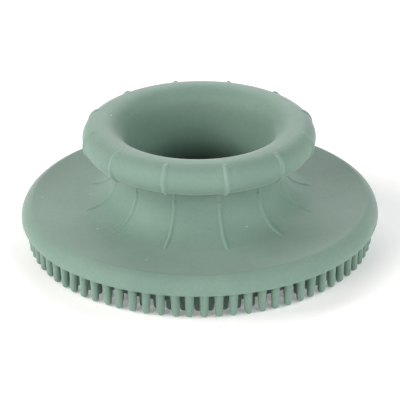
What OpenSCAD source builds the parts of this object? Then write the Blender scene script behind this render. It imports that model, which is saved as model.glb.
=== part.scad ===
// Soft round curry comb: a ring-shaped grip on a hollow neck, closed at the bottom, standing
// on a disc with two rows of fingers and an inner scraper wall underneath.
// Origin: centre of the circle that the finger tips stand on. +Z is up, along the axis.

/* [Disc] */
// Outer diameter of the disc
disc_d = 130; // [124:1:150]
// Height of the rim's underside above the finger tips
finger_h = 9.6; // [8:0.1:10]
// Height of the rim's crest above its underside
rim_h = 6.4; // [6.3:0.1:7.5]
// Large rounding of the rim's upper outer edge
rim_top_r = 5.8; // [5:0.1:5.8]
// Small rounding of the rim's lower outer edge
rim_low_r = 0.5; // [0.3:0.1:0.5]
// Radial width of the rim, from its crest outwards
rim_w = 4.4; // [4:0.1:4.8]

/* [Neck] */
// Outer radius of the neck's waist
waist_r = 30.2; // [28:0.1:31]
// Wall thickness of the neck and of the thin part of the plate
wall = 3.2; // [2.6:0.1:3.4]
// Radius of the neck's flare into the plate
flare_r = 12.3; // [10:0.1:13]
// Height of the flare's foot above the finger tips
foot_z = 14.7; // [14.4:0.1:15.5]
// Height of the waist's straight tube
waist_h = 7.2; // [5:0.1:10]
// Thickness of the floor that closes the neck
floor_t = 2.4; // [1.6:0.1:3]

/* [Grip ring] */
// Outer diameter of the grip ring
grip_d = 83.6; // [82:0.1:88]
// Height of the grip ring's rounded outer side
grip_h = 11.6; // [10.8:0.1:12]
// Radius of the funnel that leads from the top of the ring into the bore
funnel_r = 8; // [6.5:0.1:8]
// Width of the flat under the ring
under_flat = 2.6; // [1:0.1:3]

/* [Ribs] */
// Number of ribs round the grip and the neck
rib_count = 12; // [6:1:16]
// Width of a rib
rib_w = 1.8; // [1:0.1:2.4]
// How far a rib stands proud
rib_h = 0.7; // [0.4:0.1:1]
// Angle of the first rib, from the front towards the right
rib_phase = 13; // [0:1:30]

/* [Fingers and scraper wall] */
// Number of fingers in each row
finger_count = 78; // [60:1:84]
// Distance of the outer row from the disc's outer edge
row_inset = 3.5; // [3.4:0.1:3.8]
// Distance between the two rows
row_gap = 4.4; // [3.6:0.1:4.6]
// Radius of a finger's round tip
tip_r = 1.35; // [1:0.05:1.4]
// Radius of a finger at its root
root_r = 1.6; // [1.4:0.05:1.65]
// Angle of the first outer finger, from the front towards the right
finger_phase = 1.1; // [0:0.1:4]
// Distance of the scraper wall's outer face from the disc's outer edge
scraper_inset = 11; // [10.6:0.1:12]
// Thickness of the scraper wall at its root
scraper_t = 2.4; // [2:0.1:3]
// How far the scraper wall stays above the finger tips
scraper_lift = 1; // [0.5:0.1:3]

/* [Hidden] */
RIBS = [for (n = [1 : rib_count]) str(n < 10 ? "0" : "", n)];

$fn = 128;
sage = [0.47, 0.60, 0.54];
disc_r = disc_d / 2;
rim_top_z = finger_h + rim_h;
rim_in_r = disc_r - rim_w;
rim_round_z = rim_top_z - sqrt(rim_top_r * rim_top_r - (rim_top_r - rim_w) * (rim_top_r - rim_w));
under_drop = 0.8;                    // how far the underside lies below the flare's outer face
under_z = foot_z - wall - under_drop;  // underside of the neck's floor and of the plate's thin part
bore_r = waist_r - wall;
foot_r = waist_r + flare_r;          // the flare's foot, and the centre of its arc
flare_top_z = foot_z + flare_r;
waist_top_z = flare_top_z + waist_h;
grip_round = grip_h / 2;             // radius of the ring's rounded outer side
grip_rise = 5.3;                     // height of the middle of that rounding above the waist
grip_z = waist_top_z + grip_rise;
grip_top_z = grip_z + grip_round;
grip_out_c = grip_d / 2 - grip_round;
grip_in_c = grip_out_c - under_flat; // centre of the rounding between the underside and the neck
funnel_z = grip_top_z - funnel_r;    // height at which the funnel becomes the straight bore
funnel_c = bore_r + funnel_r;        // inner edge of the narrow flat on top of the ring
outer_row_r = disc_r - row_inset;
scraper_r = disc_r - scraper_inset;
pad_margin = 1.1;                    // how far the thick band under the plate goes on inside the wall
pad_in_r = scraper_r - scraper_t - pad_margin;
pad_bevel = 2;                       // width of the slope at that band's inner edge
scraper_edge = 0.3;                  // how much the scraper wall narrows on each side
rib_root = 0.2;                      // how deep a rib is rooted in the wall behind it
rib_top_angle = 78;                  // where a grip rib ends on top of the ring
reach = 200;                         // larger than the part

// A ring with the section given as children, which lies in the half plane x > 0
module ring() {
    rotate_extrude() children();
}

// Children copied round the axis
module around(count, phase) {
    for (i = [0 : count - 1]) rotate(phase + i * 360 / count) children();
}

// A slab as wide as a rib that runs from the axis towards the front
module rib_slab() {
    translate([-rib_w / 2, -reach, 0]) cube([rib_w, reach, reach]);
}

// ---- disc ----

module plate_section() {
    polygon([
        [foot_r, under_z], [foot_r, foot_z],
        [rim_in_r, rim_top_z], [rim_in_r, finger_h],
        [pad_in_r, finger_h], [pad_in_r - pad_bevel, under_z]]);
}

module base_disc() {
    color(sage) ring() plate_section();
}

// The rim falls away outwards from its crest, which is also the plate's edge
module rim_section() {
    top_c = disc_r - rim_top_r;
    low_c = disc_r - rim_low_r;
    low_z = finger_h + rim_low_r;
    intersection() {
        union() {
            translate([top_c, rim_round_z]) circle(rim_top_r);
            translate([top_c, low_z]) square([rim_top_r, rim_round_z - low_z]);
        }
        translate([rim_in_r, low_z]) square([rim_w, rim_h]);
    }
    translate([low_c, low_z]) circle(rim_low_r);
    translate([rim_in_r, finger_h]) square([low_c - rim_in_r, rim_low_r]);
}

module outer_rim() {
    color(sage) ring() rim_section();
}

module scraper_wall() {
    scraper_in = scraper_r - scraper_t;
    color(sage) ring() polygon([
        [scraper_in, finger_h], [scraper_r, finger_h],
        [scraper_r - scraper_edge, scraper_lift], [scraper_in + scraper_edge, scraper_lift]]);
}

// ---- fingers ----

module finger() {
    rotate_extrude($fn = 24) {
        intersection() {
            translate([0, tip_r]) circle(tip_r);
            square(tip_r);
        }
        polygon([[0, tip_r], [tip_r, tip_r], [root_r, finger_h], [0, finger_h]]);
    }
}

module finger_row(radius, phase) {
    color(sage) around(finger_count, phase) translate([0, -radius, 0]) finger();
}

module outer_fingers() {
    finger_row(outer_row_r, finger_phase);
}

module inner_fingers() {
    finger_row(outer_row_r - row_gap, finger_phase + 180 / finger_count);
}

// ---- neck ----

module flare_section(low, high) {
    intersection() {
        translate([foot_r, flare_top_z]) difference() {
            circle(high);
            circle(low);
        }
        translate([0, foot_z - wall]) square([foot_r, flare_r + wall]);
    }
}

module neck_flare() {
    color(sage) ring() flare_section(flare_r, flare_r + wall);
}

module neck_waist() {
    color(sage) ring() translate([bore_r, flare_top_z]) square([wall, waist_h]);
}

// The floor closes the neck below the flare and fits the flare's inner face
module neck_floor() {
    color(sage) ring() difference() {
        translate([0, under_z]) square([foot_r, floor_t]);
        translate([foot_r, flare_top_z]) circle(flare_r + wall);
    }
}

module neck_rib(n) {
    color(sage) rotate(rib_phase + n * 360 / rib_count) intersection() {
        ring() flare_section(flare_r - rib_h, flare_r + rib_root);
        rib_slab();
    }
}

module waist_ribs() {
    color(sage) around(rib_count, rib_phase) intersection() {
        ring() translate([waist_r - rib_root, flare_top_z]) square([rib_h + rib_root, waist_h]);
        rib_slab();
    }
}

// ---- grip ----

// The ring's outer side and its underside, made larger all round by grow
module grip_outline(grow) {
    size = grip_round + grow;
    translate([grip_out_c, grip_z]) circle(size);
    translate([grip_in_c, grip_z - size]) square([under_flat, size]);
    intersection() {
        translate([grip_in_c, grip_z]) circle(size);
        translate([0, grip_z - size]) square([grip_in_c, size]);
    }
}

module grip_ring() {
    color(sage) ring() {
        grip_outline(0);
        intersection() {
            translate([funnel_c, funnel_z]) circle(funnel_r);
            translate([bore_r, funnel_z]) square(funnel_r);
        }
        translate([funnel_c, funnel_z]) square([grip_out_c - funnel_c, funnel_r]);
        translate([bore_r, waist_top_z]) square([wall, funnel_z - waist_top_z]);
    }
}

// A grip rib runs from the top of the ring over its outer side to the flat underneath. It dies
// out towards the top, because it never stands above the ring.
module grip_rib_section() {
    difference() {
        grip_outline(rib_h);
        grip_outline(-rib_root);
        square([grip_in_c, reach]);
        translate([0, grip_z]) square([grip_out_c, reach]);
        translate([grip_out_c, grip_z]) rotate(rib_top_angle) square(reach);
        translate([0, grip_top_z]) square(reach);
    }
}

module grip_rib(n) {
    color(sage) rotate(rib_phase + n * 360 / rib_count) intersection() {
        ring() grip_rib_section();
        rib_slab();
    }
}

base_disc();
outer_rim();
scraper_wall();
outer_fingers();
inner_fingers();
neck_floor();
neck_flare();
neck_waist();
waist_ribs();
grip_ring();
for (n = [0 : rib_count - 1]) {
    neck_rib(n);
    grip_rib(n);
}
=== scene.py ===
"""Looks for the soft round curry comb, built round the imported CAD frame.

The comb is one moulding of soft silicone. Every CAD node gets a piece of its own, turned from a smooth
section, and the pieces share their border outlines and normals, so that the moulding looks seamless.
Lengths are metres. The comb stands on z = 0, its axis is Z, and -Y is the front.
"""
import math
import random

import bpy
from mathutils import Matrix, Vector


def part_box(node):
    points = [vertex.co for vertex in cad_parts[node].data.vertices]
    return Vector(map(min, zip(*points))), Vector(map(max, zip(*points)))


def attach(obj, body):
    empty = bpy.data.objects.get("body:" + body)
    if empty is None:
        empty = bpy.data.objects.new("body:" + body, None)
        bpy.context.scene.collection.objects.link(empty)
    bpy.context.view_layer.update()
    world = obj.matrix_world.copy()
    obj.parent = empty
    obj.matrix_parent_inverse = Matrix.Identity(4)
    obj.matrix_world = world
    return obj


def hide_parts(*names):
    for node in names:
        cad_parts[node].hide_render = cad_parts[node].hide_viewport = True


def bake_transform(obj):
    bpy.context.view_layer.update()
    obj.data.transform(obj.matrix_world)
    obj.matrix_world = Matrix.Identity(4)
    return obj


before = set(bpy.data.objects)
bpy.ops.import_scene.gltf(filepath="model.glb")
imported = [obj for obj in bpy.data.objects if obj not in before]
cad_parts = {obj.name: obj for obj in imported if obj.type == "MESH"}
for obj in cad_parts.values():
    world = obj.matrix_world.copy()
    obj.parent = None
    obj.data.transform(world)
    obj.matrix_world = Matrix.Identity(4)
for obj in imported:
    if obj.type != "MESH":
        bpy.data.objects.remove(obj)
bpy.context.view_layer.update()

MM = 0.001
TURN = 2 * math.pi
LATHE_STEPS = 288          # steps round the axis on the large turned pieces
RIB_COUNT = 12
RIB_PHASE = math.radians(13)
RIB_NAMES = [f"{n:02d}" for n in range(1, RIB_COUNT + 1)]
NECK_RIB_HALF_WIDTH = 1.1 * MM
GRIP_RIB_HALF_WIDTH = 1.4 * MM
RIB_PROUD = 0.62 * MM
FINGER_COUNT = 78
FINGER_PHASE = math.radians(1.1)
ROW_INSET = 3.5 * MM       # distance of the outer row from the rim's outside
ROW_GAP = 4.4 * MM
FINGER_TIP_R = 1.35 * MM
FINGER_ROOT_R = 1.6 * MM
BURIED = 0.2 * MM          # how far a finger or the scraper wall reaches into the pad above it

# ---- sizes read off the frame ----

disc_low, disc_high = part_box("base_disc")
_, rim_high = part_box("outer_rim")
flare_low, flare_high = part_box("neck_flare")
_, waist_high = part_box("neck_waist")
grip_low, grip_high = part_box("grip_ring")
scraper_low, scraper_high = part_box("scraper_wall")
floor_low, floor_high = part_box("neck_floor")

pad_z = disc_low.z                      # underside that the fingers stand out of
flare_top = flare_high.z
foot_r = flare_high.x
waist_r = waist_high.x
flare_r = foot_r - waist_r
foot_z = flare_top - flare_r            # top of the plate at the neck's foot
wall = foot_z - flare_low.z
bore_r = waist_r - wall
waist_top = waist_high.z
under_z = floor_low.z                   # underside of the neck's floor and of the plate beside it
floor_z = floor_high.z                  # top of the neck's floor

scraper_out_r = scraper_high.x
scraper_tip_z = scraper_low.z
SCRAPER_T = 2.4 * MM
PAD_MARGIN = 1.1 * MM                   # how far the pad that holds the fingers goes on inside the wall
PAD_SLOPE_W = 2.1 * MM                  # width of the slope at the pad's inner edge
pad_in_r = scraper_out_r - SCRAPER_T - PAD_MARGIN

grip_round = (grip_high.z - grip_low.z) / 2
grip_mid_z = (grip_high.z + grip_low.z) / 2
grip_out_c = grip_high.x - grip_round   # centre of the rounding of the ring's outer side
UNDER_FLAT = 2.6 * MM
grip_in_c = grip_out_c - UNDER_FLAT     # where the flat under the ring starts to turn up to the neck
UNDER_CORNER = 1.6 * MM                 # width of the soft corner between the neck and that flat
FUNNEL_R = 8 * MM
FUNNEL_TURN = 56                        # degrees of that rounding before it eases into the bore

rim_r = rim_high.x
outer_row_r = rim_r - ROW_INSET
rim_in_r = disc_high.x
rim_top = rim_high.z
RIM_ROUND = 5.8 * MM
RIM_LOW_ROUND = 0.5 * MM
rim_round_r = rim_r - RIM_ROUND
rim_round_z = rim_top - math.sqrt(RIM_ROUND ** 2 - (rim_in_r - rim_round_r) ** 2)
CREST_DROP = 0.12 * MM                  # the soft crest stays this far under the CAD's sharp one
plate_edge_z = rim_top - CREST_DROP
PLATE_EDGE_SLOPE = math.radians(7)      # how steeply the dished plate rises to the rim's crest
PLATE_EDGE_NORMAL = (-math.sin(PLATE_EDGE_SLOPE), math.cos(PLATE_EDGE_SLOPE))


# ---- outlines: lists of (r, z) points ----

def arc(centre, radius, start, end, steps):
    """Points on a circle in the section, from angle start to angle end in degrees."""
    angles = [math.radians(start + (end - start) * i / steps) for i in range(steps + 1)]
    return [(centre[0] + radius * math.cos(a), centre[1] + radius * math.sin(a)) for a in angles]


def bezier(a, b, c, steps):
    """Points on a quadratic curve from a to c that heads for b."""
    points = []
    for i in range(steps + 1):
        t = i / steps
        u = 1 - t
        points.append(tuple(u * u * a[k] + 2 * u * t * b[k] + t * t * c[k] for k in (0, 1)))
    return points


def straight(a, b, steps):
    return [tuple(a[k] + (b[k] - a[k]) * i / steps for k in (0, 1)) for i in range(steps + 1)]


def meeting(a, slope_a, b, slope_b):
    """Where the line through a with one slope meets the line through b with another."""
    r = (b[1] - a[1] + slope_a * a[0] - slope_b * b[0]) / (slope_a - slope_b)
    return r, a[1] + slope_a * (r - a[0])


def joined(*runs):
    """One list of points out of several, without the points that repeat."""
    points = []
    for run in runs:
        for p in run:
            if not points or math.dist(p, points[-1]) > 1e-7:
                points.append(p)
    return points


def plate_top(steps=28):
    """The plate's upper face: level at the neck's foot, then rising to the rim's crest like a dish."""
    width = rim_in_r - foot_r
    rise = plate_edge_z - foot_z
    steep = math.tan(PLATE_EDGE_SLOPE) * width / rise   # the slope at the crest over the mean slope
    points = []
    for i in range(steps + 1):
        t = i / steps
        points.append((foot_r + width * t, foot_z + rise * t * t * (3 - steep + (steep - 2) * t)))
    return points


# ---- meshes ----

def left_normals(points, first=None, last=None):
    """A unit normal at each point, on the left of the way along; first and last may be given."""
    normals = []
    for i, p in enumerate(points):
        before = points[max(i - 1, 0)]
        after = points[min(i + 1, len(points) - 1)]
        dx, dz = after[0] - before[0], after[1] - before[1]
        length = math.hypot(dx, dz)
        normals.append((-dz / length, dx / length))
    if first:
        normals[0] = first
    if last:
        normals[-1] = last
    return normals


def turned(name, runs, steps=LATHE_STEPS):
    """A closed solid of revolution. Each run is (points, first normal, last normal), its outside is on the
    left, and each run starts where the one before it ends. Runs are smooth; edges between them are not.
    A point on the axis becomes one vertex."""
    verts, starts = [], []
    for points, _, _ in runs:
        for r, z in points[:-1]:
            starts.append(len(verts))
            if r == 0:
                verts.append((0, 0, z))
                continue
            for k in range(steps):
                a = TURN * k / steps
                verts.append((r * math.sin(a), -r * math.cos(a), z))
    starts.append(0)                    # the last run ends where the first one starts
    faces, loop_normals = [], []
    ring = 0
    for points, first, last in runs:
        normals = left_normals(points, first, last)
        for (low, high), (low_n, high_n) in zip(zip(points, points[1:]), zip(normals, normals[1:])):
            at_low, at_high = starts[ring], starts[ring + 1]
            ring += 1
            if low[0] == 0 and high[0] == 0:
                continue
            for k in range(steps):
                m = (k + 1) % steps
                corners = [(at_low, k, low, low_n), (at_high, k, high, high_n),
                           (at_high, m, high, high_n), (at_low, m, low, low_n)]
                if low[0] == 0:
                    del corners[3]
                if high[0] == 0:
                    del corners[2]
                faces.append(tuple(at + (j if point[0] else 0) for at, j, point, _ in corners))
                for _, j, _, (nr, nz) in corners:
                    a = TURN * j / steps
                    loop_normals.append((nr * math.sin(a), -nr * math.cos(a), nz))
    mesh = bpy.data.meshes.new(name)
    mesh.from_pydata(verts, [], faces)
    mesh.polygons.foreach_set("use_smooth", [True] * len(faces))
    mesh.update()
    if mesh.polygons[0].normal.dot(Vector(loop_normals[0])) < 0:
        raise ValueError(f"{name}: its outline runs the wrong way round")
    mesh.normals_split_custom_set(loop_normals)
    return add_object(name, mesh)


def add_object(name, mesh):
    obj = bpy.data.objects.new(name, mesh)
    bpy.context.scene.collection.objects.link(obj)
    return obj


def rib(name, path, angle, half_width, fade_start, fade_end):
    """A raised rib along path, a list of (r, z) with the outside on the left, at an angle round the axis.
    Its crown is bell-shaped, its edges dip just under the surface, and an end may fade out."""
    across = 10
    sunk = 0.12 * MM
    foot = -3 * sunk                    # the rib's hidden underside
    end_width = 0.72                    # width of a faded end as a share of the full width
    normals = left_normals(path)
    lengths = [0.0]
    for a, b in zip(path, path[1:]):
        lengths.append(lengths[-1] + math.dist(a, b))
    side = Vector((math.cos(angle), math.sin(angle), 0))
    out = Vector((math.sin(angle), -math.cos(angle), 0))
    up = Vector((0, 0, 1))

    def placed(point, normal, x, height):
        """A point beside the rib's middle by x and above the surface, which curves away sideways."""
        r, z = point
        fall = r - math.sqrt(r ** 2 - x * x)
        return out * (r - fall + normal[0] * height) + up * (z + normal[1] * height) + side * x

    verts, faces = [], []
    for point, normal, along in zip(path, normals, lengths):
        grown = 1.0
        if fade_start:
            grown = min(grown, along / fade_start)
        if fade_end:
            grown = min(grown, (lengths[-1] - along) / fade_end)
        grown = grown * grown * (3 - 2 * grown)
        half = half_width * (end_width + (1 - end_width) * grown)
        for j in range(across + 1):
            u = 2 * j / across - 1
            bell = (1 - u * u) ** 2
            verts.append(placed(point, normal, u * half, (RIB_PROUD + sunk) * bell * grown - sunk))
        verts += [placed(point, normal, half, foot), placed(point, normal, -half, foot)]
    row = across + 3
    for i in range(len(path) - 1):
        for j in range(row):
            k = (j + 1) % row
            faces.append((i * row + j, i * row + k, (i + 1) * row + k, (i + 1) * row + j))
    faces.append(tuple(range(row))[::-1])
    faces.append(tuple((len(path) - 1) * row + j for j in range(row)))
    mesh = bpy.data.meshes.new(name)
    mesh.from_pydata([tuple(v) for v in verts], [], faces)
    mesh.polygons.foreach_set("use_smooth", [True] * len(faces))
    mesh.update()
    middle = len(path) // 2
    crown = mesh.polygons[middle * row + across // 2]
    if (out * normals[middle][0] + up * normals[middle][1]).dot(crown.normal) < 0:
        mesh.flip_normals()
    return mesh


def finger_section():
    """A finger's outline from its tip to its root, with the fillet that runs into the pad."""
    fillet = 0.55 * MM
    root_z = pad_z - fillet
    side_lean = 4                       # degrees before the level at which the round tip becomes the side
    tip = arc((0, FINGER_TIP_R), FINGER_TIP_R, -90, -side_lean, 9)
    side = straight(tip[-1], (FINGER_ROOT_R, root_z), 5)
    root = arc((FINGER_ROOT_R + fillet, root_z), fillet, 180, 90, 5)
    return joined(tip, side, root, [(FINGER_ROOT_R + fillet, pad_z + BURIED)])


def finger_row(name, radius, phase, seed):
    """A row of fingers as one mesh of separate closed solids. Each leans a little, as soft ones do."""
    steps = 20
    lean_along, lean_out = 0.16 * MM, 0.10 * MM   # spread of the tips, along the row and outwards
    outline = finger_section()
    rng = random.Random(seed)
    verts, faces = [], []
    for n in range(FINGER_COUNT):
        angle = phase + TURN * n / FINGER_COUNT
        lean = rng.gauss(0, lean_along), rng.gauss(0, lean_out)
        start = len(verts)
        out = Vector((math.sin(angle), -math.cos(angle), 0))
        side = Vector((math.cos(angle), math.sin(angle), 0))
        for r, z in outline[1:]:
            bend = max(0.0, 1 - z / pad_z) ** 1.5
            axis_point = out * (radius + lean[1] * bend) + side * (lean[0] * bend)
            for k in range(steps):
                a = TURN * k / steps
                round_axis = out * (r * math.cos(a)) + side * (r * math.sin(a))
                verts.append(axis_point + round_axis + Vector((0, 0, z)))
        rings = len(outline) - 1
        for i in range(rings - 1):
            for k in range(steps):
                m = (k + 1) % steps
                faces.append((start + i * steps + k, start + (i + 1) * steps + k,
                              start + (i + 1) * steps + m, start + i * steps + m))
        tip = len(verts)
        verts.append(out * (radius + lean[1]) + side * lean[0] + Vector((0, 0, outline[0][1])))
        for k in range(steps):
            faces.append((tip, start + k, start + (k + 1) % steps))
        last = start + (rings - 1) * steps
        faces.append(tuple(last + k for k in range(steps)))
    mesh = bpy.data.meshes.new(name)
    mesh.from_pydata([tuple(v) for v in verts], [], faces)
    mesh.polygons.foreach_set("use_smooth", [True] * len(faces))
    mesh.update()
    side_face = mesh.polygons[0]
    first_axis = Vector((radius * math.sin(phase), -radius * math.cos(phase), side_face.center.z))
    if (side_face.center - first_axis).dot(side_face.normal) < 0:
        mesh.flip_normals()
    flatten_tops(mesh)
    return add_object(name, mesh)


def flatten_tops(mesh):
    """Makes the flat buried ends flat-shaded, so that they don't bend the light near the root."""
    for polygon in mesh.polygons:
        if len(polygon.vertices) > 4:
            polygon.use_smooth = False


# ---- materials ----

def silicone(name, painted_highlight_lift):
    """Matte sage silicone: soft mottling, a fine moulded grain, a few specks of dust. The lift argument
    multiplies the whole colour as a painted highlight: the ribs get a lighter copy that stands in for the
    light caught on their crests."""
    mat = bpy.data.materials.new(name)
    mat.use_nodes = True
    nodes, links = mat.node_tree.nodes, mat.node_tree.links
    shader = nodes["Principled BSDF"]
    shader.inputs["Specular IOR Level"].default_value = 0.25
    shader.inputs["Sheen Weight"].default_value = 0.28
    shader.inputs["Sheen Roughness"].default_value = 0.45
    shader.inputs["Subsurface Weight"].default_value = 0.12
    shader.inputs["Subsurface Radius"].default_value = (0.8, 1.0, 0.9)
    shader.inputs["Subsurface Scale"].default_value = 1.2 * MM
    place = nodes.new("ShaderNodeTexCoord").outputs["Object"]

    def noise(scale, detail, roughness=0.5):
        node = nodes.new("ShaderNodeTexNoise")
        node.inputs["Scale"].default_value = scale
        node.inputs["Detail"].default_value = detail
        node.inputs["Roughness"].default_value = roughness
        links.new(place, node.inputs["Vector"])
        return node.outputs["Fac"]

    def ramp(source, stops):
        node = nodes.new("ShaderNodeValToRGB")
        points = node.color_ramp.elements
        while len(points) < len(stops):
            points.new(0.5)
        for point, (at, colour) in zip(points, stops):
            point.position = at
            point.color = (*colour, 1)
        links.new(source, node.inputs["Fac"])
        return node.outputs["Color"]

    def mixed(factor, a, b, how="MIX"):
        node = nodes.new("ShaderNodeMix")
        node.data_type = "RGBA"
        node.blend_type = how
        for socket, value in (("Factor", factor), ("A", a), ("B", b)):
            target = next(s for s in node.inputs if s.name == socket and s.enabled)
            if isinstance(value, (float, tuple)):
                target.default_value = value
            else:
                links.new(value, target)
        return next(s for s in node.outputs if s.enabled)

    def specks(scale, size, share, offset):
        """1 inside small round specks, of which only some cells have one."""
        shifted = nodes.new("ShaderNodeVectorMath")
        shifted.operation = "ADD"
        shifted.inputs[1].default_value = (offset, offset, offset)
        links.new(place, shifted.inputs[0])
        cells = nodes.new("ShaderNodeTexVoronoi")
        cells.inputs["Scale"].default_value = scale
        links.new(shifted.outputs[0], cells.inputs["Vector"])
        near = nodes.new("ShaderNodeMath")
        near.operation = "LESS_THAN"
        links.new(cells.outputs["Distance"], near.inputs[0])
        near.inputs[1].default_value = size
        split = nodes.new("ShaderNodeSeparateColor")
        links.new(cells.outputs["Color"], split.inputs["Color"])
        chosen = nodes.new("ShaderNodeMath")
        chosen.operation = "LESS_THAN"
        links.new(split.outputs[0], chosen.inputs[0])
        chosen.inputs[1].default_value = share
        both = nodes.new("ShaderNodeMath")
        both.operation = "MULTIPLY"
        links.new(near.outputs[0], both.inputs[0])
        links.new(chosen.outputs[0], both.inputs[1])
        return both.outputs[0]

    # the lift scales both tones: painted highlight for the ribs, 1.0 for the rest
    dark = [painted_highlight_lift * c for c in (0.165, 0.265, 0.217)]
    light = [painted_highlight_lift * c for c in (0.196, 0.302, 0.247)]
    pale_dust, dark_dust = (0.62, 0.66, 0.62, 1), (0.07, 0.10, 0.085, 1)
    tone = ramp(noise(38, 3, 0.55), [(0.30, dark), (0.70, light)])
    grain = ramp(noise(900, 2), [(0.35, (0.90, 0.90, 0.90)), (0.65, (1.0, 1.0, 1.0))])
    colour = mixed(0.5, tone, grain, "MULTIPLY")
    colour = mixed(specks(scale=230, size=0.055, share=0.10, offset=0.31), colour, pale_dust)
    colour = mixed(specks(scale=310, size=0.06, share=0.07, offset=1.7), colour, dark_dust)
    links.new(colour, shader.inputs["Base Color"])

    dull = nodes.new("ShaderNodeMapRange")
    dull.inputs["To Min"].default_value = 0.52
    dull.inputs["To Max"].default_value = 0.66
    links.new(noise(120, 4, 0.6), dull.inputs["Value"])
    links.new(dull.outputs["Result"], shader.inputs["Roughness"])

    bump = nodes.new("ShaderNodeBump")
    bump.inputs["Strength"].default_value = 0.18
    bump.inputs["Distance"].default_value = 0.05 * MM
    links.new(noise(2200, 3, 0.6), bump.inputs["Height"])
    links.new(bump.outputs["Normal"], shader.inputs["Normal"])
    return mat


SILICONE = silicone("sage_silicone", 1.0)
# a lighter copy of the silicone for the ribs: painted highlight, standing in for light on their crests
RIB_SILICONE_PAINTED_HIGHLIGHT = silicone("sage_silicone_rib_painted_highlight", 1.09)


def finish_piece(obj, body, node, material=SILICONE):
    """Gives a piece its silicone and lets it stand for its CAD node. It rides on its body, apart from a
    piece that bends across a joint, which has no body of its own."""
    obj.data.materials.append(material)
    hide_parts(node)
    if body:
        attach(obj, body)


def bend_with_rock(obj):
    """Bakes the piece's placement into its mesh. The flare and its ribs bend as the grip rocks on the disc,
    but nothing here sets up that bending.
    """
    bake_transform(obj)


def bend_with_press(obj):
    """Bakes the piece's placement into its mesh. The waist and its ribs shorten as the grip is pressed down,
    but nothing here sets up that shortening.
    """
    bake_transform(obj)


# ---- disc ----

def make_base_disc():
    """The dished plate, and under its outer part the thick pad that the fingers root in."""
    edge = (pad_in_r, pad_z)
    knee = (pad_in_r - PAD_SLOPE_W, under_z)
    soft_edge_w, soft_knee_w = 1.2 * MM, 1.4 * MM
    slope_w, slope_h = 0.8 * MM, 0.4 * MM
    edge_start = (edge[0] + soft_edge_w, pad_z)
    knee_end = (knee[0] - soft_knee_w, under_z)
    under = joined(
        straight((rim_in_r, pad_z), edge_start, 8),
        bezier(edge_start, edge, (edge[0] - slope_w, pad_z + slope_h), 6),
        bezier((knee[0] + slope_w, under_z - slope_h), knee, knee_end, 6),
        straight(knee_end, (foot_r, under_z), 6))
    obj = turned("base_disc_moulding", [
        (under, (0, -1), (0, -1)),
        (straight((foot_r, under_z), (foot_r, foot_z), 2), (-1, 0), (-1, 0)),
        (plate_top(), (0, 1), PLATE_EDGE_NORMAL),
        (straight((rim_in_r, plate_edge_z), (rim_in_r, pad_z), 3), (1, 0), (1, 0))])
    finish_piece(obj, "base", "base_disc")


def make_outer_rim():
    """The rim falls away from its soft crest in one large rounding, down to a small one at the bottom."""
    start = (rim_in_r, plate_edge_z)
    crest_turn = 65                     # angle on the large rounding at which the crest's own curve ends
    fall = arc((rim_round_r, rim_round_z), RIM_ROUND, crest_turn, 0, 26)
    fall_slope = -1 / math.tan(math.radians(crest_turn))
    peak = meeting(start, math.tan(PLATE_EDGE_SLOPE), fall[0], fall_slope)
    outside = joined(
        bezier(start, peak, fall[0], 10),
        fall,
        arc((rim_r - RIM_LOW_ROUND, pad_z + RIM_LOW_ROUND), RIM_LOW_ROUND, 0, -90, 10),
        straight((rim_r - RIM_LOW_ROUND, pad_z), (rim_in_r, pad_z), 4))
    obj = turned("outer_rim_moulding", [
        (outside, PLATE_EDGE_NORMAL, (0, -1)),
        (straight((rim_in_r, pad_z), start, 3), (-1, 0), (-1, 0))])
    finish_piece(obj, "base", "outer_rim")


def make_scraper_wall():
    """The low wall: filleted into the pad, narrowing a little downwards, with a rounded lower edge."""
    outer, inner, low = scraper_out_r, scraper_out_r - SCRAPER_T, scraper_tip_z
    edge = 0.3 * MM                     # how much each side narrows
    fillet = 0.6 * MM
    lip = 0.6 * MM
    face = joined(
        bezier((inner - fillet, pad_z), (inner, pad_z), (inner, pad_z - fillet), 5),
        straight((inner, pad_z - fillet), (inner + edge, low + lip), 8),
        arc((inner + edge + lip, low + lip), lip, 180, 270, 6),
        arc((outer - edge - lip, low + lip), lip, 270, 360, 6),
        straight((outer - edge, low + lip), (outer, pad_z - fillet), 8),
        bezier((outer, pad_z - fillet), (outer, pad_z), (outer + fillet, pad_z), 5))
    root = pad_z + BURIED
    obj = turned("scraper_wall_moulding", [
        (face[::-1], None, None),
        (straight(face[0], (face[0][0], root), 1), (-1, 0), (-1, 0)),
        (straight((face[0][0], root), (face[-1][0], root), 2), (0, 1), (0, 1)),
        (straight((face[-1][0], root), face[-1], 1), (1, 0), (1, 0))])
    finish_piece(obj, "base", "scraper_wall")


# ---- neck ----

def make_neck_floor():
    """The floor that closes the neck, with a soft corner where it meets the flare's inside."""
    corner_w, corner_h, corner_pull = 2.2 * MM, 0.3 * MM, 0.5 * MM
    above_floor = 205                   # angle of a place on the flare's inside that is above the floor
    inside = arc((foot_r, flare_top), flare_r + wall, above_floor, 270, 40)
    below = [p for p in inside if p[1] < floor_z - corner_h]
    corner_end = below[0]
    corner_start = (corner_end[0] - corner_w, floor_z)
    top = joined(
        straight((0, floor_z), corner_start, 12),
        bezier(corner_start, (corner_end[0] - corner_pull, floor_z), corner_end, 6),
        below)
    obj = turned("neck_floor_moulding", [
        (straight((foot_r, under_z), (0, under_z), 14), (0, -1), (0, -1)),
        (straight((0, under_z), (0, floor_z), 1), None, None),
        (top, (0, 1), None),
        (straight(top[-1], (foot_r, under_z), 1), (1, 0), (1, 0))])
    finish_piece(obj, "base", "neck_floor")


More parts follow.
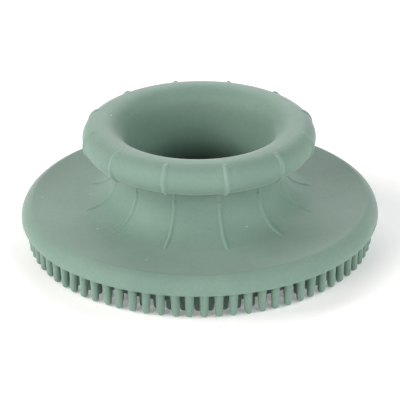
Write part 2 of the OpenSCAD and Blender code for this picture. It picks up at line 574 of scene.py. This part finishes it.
def make_neck_flare():
    centre = (foot_r, flare_top)
    outside = arc(centre, flare_r, 270, 180, 44)
    inside = arc(centre, flare_r + wall, 180, 270, 44)
    obj = turned("neck_flare_moulding", [
        (outside[::-1], (1, 0), (0, 1)),
        (straight(outside[0], inside[-1], 2), (1, 0), (1, 0)),
        (inside[::-1], (0, -1), (-1, 0)),
        (straight(inside[0], outside[-1], 2), (0, 1), (0, 1))])
    finish_piece(obj, None, "neck_flare")
    bend_with_rock(obj)


def make_neck_waist():
    obj = turned("neck_waist_moulding", [
        (straight((waist_r, waist_top), (waist_r, flare_top), 12), (1, 0), (1, 0)),
        (straight((waist_r, flare_top), (bore_r, flare_top), 2), (0, -1), (0, -1)),
        (straight((bore_r, flare_top), (bore_r, waist_top), 12), (-1, 0), (-1, 0)),
        (straight((bore_r, waist_top), (waist_r, waist_top), 2), (0, 1), (0, 1))])
    finish_piece(obj, None, "neck_waist")
    bend_with_press(obj)


# ---- grip ----

def grip_outside():
    """The ring's outline, from the neck's outside, along its underside, round its outer side, over its top
    and down the funnel to the bore."""
    low = grip_mid_z - grip_round
    top = grip_mid_z + grip_round
    funnel_z = top - FUNNEL_R
    funnel = arc((bore_r + FUNNEL_R, funnel_z), FUNNEL_R, 90, 90 + FUNNEL_TURN, 32)
    end_r, end_z = funnel[-1]
    meets_bore = (bore_r, end_z - (end_r - bore_r) * math.tan(math.radians(FUNNEL_TURN)))
    corner_end = (waist_r + UNDER_CORNER, low)
    turn_out = (grip_in_c, low)
    return joined(
        bezier((waist_r, waist_top), (waist_r, low), corner_end, 8),
        straight(corner_end, turn_out, 3),
        straight(turn_out, (grip_out_c, low), 3),
        arc((grip_out_c, grip_mid_z), grip_round, -90, 90, 64),
        funnel,
        bezier(funnel[-1], meets_bore, (bore_r, waist_top), 24))


def make_grip_ring():
    outline = grip_outside()
    obj = turned("grip_ring_moulding", [
        (outline[::-1], (-1, 0), (1, 0)),
        (straight((waist_r, waist_top), (bore_r, waist_top), 2), (0, -1), (0, -1))])
    finish_piece(obj, "grip", "grip_ring")


# ---- ribs ----

def rib_angle(n):
    return RIB_PHASE + TURN * n / RIB_COUNT


def grip_rib_path():
    """The stretch of the ring's outline that a grip rib covers, from under the ring to near its top."""
    outline = grip_outside()
    inner_end_r = waist_r + 1.2 * MM
    top_angle = math.radians(84)

    def before_top(p):
        beside = p[0] > grip_out_c and p[1] > grip_mid_z
        return beside and math.atan2(p[1] - grip_mid_z, p[0] - grip_out_c) < top_angle

    start = next(i for i, p in enumerate(outline) if p[0] > inner_end_r)
    stop = max(i for i, p in enumerate(outline) if before_top(p))
    return outline[start:stop]


def make_ribs():
    """Each path has its outside on the right, so it is turned round for rib(), which wants it on the left."""
    past_foot = 4                       # degrees that a neck rib goes on past the flare's foot
    flare = arc((foot_r, flare_top), flare_r, 270 + past_foot, 180, 30)
    waist = straight((waist_r, flare_top), (waist_r, waist_top), 8)
    grip = grip_rib_path()
    foot_fade, top_fade, under_fade = 3.2 * MM, 1.8 * MM, 1.6 * MM
    for n, label in enumerate(RIB_NAMES):
        # the ribs wear the lighter silicone copy, a painted highlight
        mesh = rib("neck_rib", flare[::-1], rib_angle(n), NECK_RIB_HALF_WIDTH, 0, foot_fade)
        piece = add_object(f"neck_rib_{label}_moulding", mesh)
        finish_piece(piece, None, f"neck_rib_{label}", RIB_SILICONE_PAINTED_HIGHLIGHT)
        bend_with_rock(piece)
        mesh = rib("grip_rib", grip[::-1], rib_angle(n), GRIP_RIB_HALF_WIDTH, top_fade, under_fade)
        piece = add_object(f"grip_rib_{label}_moulding", mesh)
        finish_piece(piece, "grip", f"grip_rib_{label}", RIB_SILICONE_PAINTED_HIGHLIGHT)
    angles = [rib_angle(n) for n in range(RIB_COUNT)]
    meshes = [rib("waist_rib", waist[::-1], angle, NECK_RIB_HALF_WIDTH, 0, 0) for angle in angles]
    piece = add_object("waist_ribs_moulding", merged("waist_ribs", meshes))
    finish_piece(piece, None, "waist_ribs", RIB_SILICONE_PAINTED_HIGHLIGHT)
    bend_with_press(piece)


def merged(name, meshes):
    """One mesh that holds several as separate solids."""
    verts, faces = [], []
    for mesh in meshes:
        start = len(verts)
        verts += [tuple(v.co) for v in mesh.vertices]
        faces += [tuple(start + i for i in p.vertices) for p in mesh.polygons]
        bpy.data.meshes.remove(mesh)
    whole = bpy.data.meshes.new(name)
    whole.from_pydata(verts, [], faces)
    whole.polygons.foreach_set("use_smooth", [True] * len(faces))
    whole.update()
    return whole


# ---- fingers ----

def make_fingers():
    """The outer row, and the inner one half a step further on."""
    inner_phase = FINGER_PHASE + TURN / FINGER_COUNT / 2
    row = finger_row("outer_fingers_moulding", outer_row_r, FINGER_PHASE, seed=7)
    finish_piece(row, "base", "outer_fingers")
    row = finger_row("inner_fingers_moulding", outer_row_r - ROW_GAP, inner_phase, seed=11)
    finish_piece(row, "base", "inner_fingers")


# ---- stage ----

def make_camera():
    """The photo's view, from the front and above, with a long lens."""
    distance, elevation = 0.6143, math.radians(27.4)
    aim = Vector((0.0001, 0, 0.0135))
    roll = math.radians(-0.58)
    data = bpy.data.cameras.new("camera")
    data.sensor_width = 36
    data.lens = 149.7
    data.clip_start = 0.01
    camera = bpy.data.objects.new("camera", data)
    bpy.context.scene.collection.objects.link(camera)
    camera.location = (0, -distance * math.cos(elevation), distance * math.sin(elevation))
    look = (aim - camera.location).to_track_quat("-Z", "Y").to_matrix()
    camera.rotation_euler = (look @ Matrix.Rotation(roll, 3, "Z")).to_euler()
    bpy.context.scene.camera = camera


def make_floor():
    half = 1.2                          # half of the floor's width
    corners = [(-half, -half, 0), (half, -half, 0), (half, half, 0), (-half, half, 0)]
    mesh = bpy.data.meshes.new("floor")
    mesh.from_pydata(corners, [], [(0, 1, 2, 3)])
    mat = bpy.data.materials.new("pale_floor")
    mat.use_nodes = True
    shader = mat.node_tree.nodes["Principled BSDF"]
    shader.inputs["Base Color"].default_value = (0.93, 0.93, 0.93, 1)
    shader.inputs["Roughness"].default_value = 0.9
    shader.inputs["Specular IOR Level"].default_value = 0.1
    shader.inputs["Emission Color"].default_value = (1, 1, 1, 1)
    shader.inputs["Emission Strength"].default_value = 0.2
    mesh.materials.append(mat)
    add_object("floor", mesh)


def area_light(name, place, size, power, colour=(1, 1, 1)):
    """A rectangular soft light, in metres and watts, that is turned to the middle of the comb."""
    aim = Vector((0, 0, 0.02))
    data = bpy.data.lights.new(name, "AREA")
    data.shape = "RECTANGLE"
    data.size, data.size_y = size
    data.energy = power
    data.color = colour
    light = bpy.data.objects.new(name, data)
    bpy.context.scene.collection.objects.link(light)
    light.location = place
    light.rotation_euler = (aim - Vector(place)).to_track_quat("-Z", "Y").to_euler()


def make_world():
    """A pale studio that is bright along the horizon and dark overhead."""
    world = bpy.data.worlds.new("studio")
    bpy.context.scene.world = world
    world.use_nodes = True
    nodes, links = world.node_tree.nodes, world.node_tree.links
    height = nodes.new("ShaderNodeSeparateXYZ")
    links.new(nodes.new("ShaderNodeTexCoord").outputs["Generated"], height.inputs[0])
    ramp = nodes.new("ShaderNodeValToRGB")
    horizon, overhead = ramp.color_ramp.elements
    horizon.position, horizon.color = 0.05, (1, 1, 1, 1)
    overhead.position, overhead.color = 0.3, (0.04, 0.04, 0.04, 1)
    links.new(height.outputs["Z"], ramp.inputs["Fac"])
    links.new(ramp.outputs["Color"], nodes["Background"].inputs["Color"])


def make_lights():
    """Soft light from both sides and from behind; the left ones are a little warmer."""
    warm, warmer = (1.0, 0.965, 0.94), (1.0, 0.965, 0.93)
    area_light("left_front_softbox", (-1.25, -1.25, 0.8), (0.9, 0.7), 20, warm)
    area_light("left_softbox", (-1.5, -0.1, 1.1), (0.9, 0.8), 19, warmer)
    area_light("right_front_softbox", (1.25, -1.25, 0.8), (0.9, 0.7), 15)
    area_light("right_softbox", (1.5, -0.1, 1.1), (0.9, 0.8), 9)
    area_light("back_softbox", (0, 1.6, 1.1), (1.6, 0.6), 19)


def set_view():
    bpy.context.scene.view_settings.view_transform = "Standard"


make_camera()
make_base_disc()
make_outer_rim()
make_scraper_wall()
make_neck_floor()
make_neck_flare()
make_neck_waist()
make_grip_ring()
make_ribs()
make_fingers()
make_floor()
make_world()
make_lights()
set_view()
